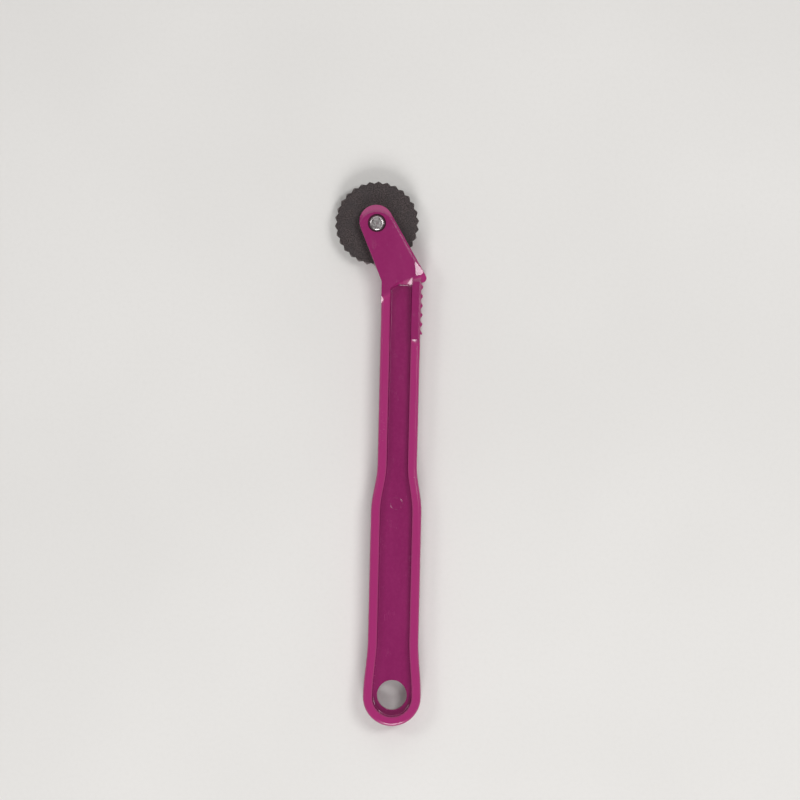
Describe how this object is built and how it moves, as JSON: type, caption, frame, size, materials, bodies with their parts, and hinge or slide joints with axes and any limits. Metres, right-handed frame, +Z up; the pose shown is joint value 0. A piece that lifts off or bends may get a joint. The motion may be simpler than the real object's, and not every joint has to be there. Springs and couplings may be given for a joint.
{
  "type": "tracing wheel",
  "caption": "Hand tracing wheel for pattern marking: serrated steel disc on a rivet in the angled fork of a recessed plastic handle with a ridged finger rest and a hang hole.",
  "frame": {"origin": "middle of the whole outline seen from above, on the surface that the tool lies on", "axes": "+Y along the handle towards the wheel, +X towards the side with the finger rest, +Z up through the thickness"},
  "size_m": [0.0271, 0.152, 0.008],
  "materials": {
    "handle_plastic": "injection moulded plastic in magenta, glossy with faint flow marks and handling scratches",
    "blackened_steel": "stamped steel with a black oxide finish, satin, worn a little brighter along the teeth",
    "rivet_steel": "nickel-plated steel, bright on the shoulder, scuffed in the dimple"
  },
  "bodies": {
    "handle": {"handle": "handle_plastic", "rivet_pin": "rivet_steel", "rivet_socket": "rivet_steel"},
    "wheel": {"serrated_wheel": "blackened_steel"}
  },
  "joints": [
    {"name": "wheel_spin", "type": "hinge", "parent": "handle", "child": "wheel", "pos_m": [-0.0018, 0.06425, 0.004], "axis": [0, 0, 1], "continuous": true}
  ]
}
